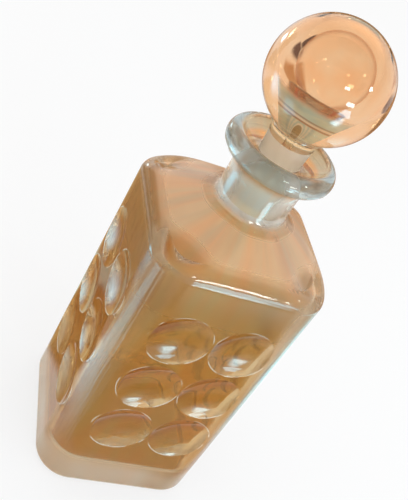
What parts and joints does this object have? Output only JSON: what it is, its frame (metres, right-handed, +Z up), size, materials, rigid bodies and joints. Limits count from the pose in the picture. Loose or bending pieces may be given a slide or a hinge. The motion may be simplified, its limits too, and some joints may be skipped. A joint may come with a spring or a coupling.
{
  "type": "whiskey decanter",
  "caption": "Square glass spirit decanter with round lens cuts on its sides, a short neck with a flared lip, and a hollow ball stopper that lifts out.",
  "frame": {"origin": "middle of the flat base, on the surface the bottle stands on", "axes": "+Z up along the axis of the neck and stopper; -Y out of the front side and +X out of the right side"},
  "size_m": [0.088, 0.088, 0.2635],
  "materials": {
    "bottle_glass": "clear polished glass with a ground bore in the neck",
    "stopper_glass": "clear polished glass with a ground plug"
  },
  "bodies": {
    "bottle": {"decanter_bottle": "bottle_glass"},
    "stopper": {"ball_stopper": "stopper_glass"}
  },
  "joints": [
    {"name": "stopper_lift", "type": "slide", "parent": "bottle", "child": "stopper", "axis": [0, 0, 1], "range_m": [0, 0.05]}
  ]
}
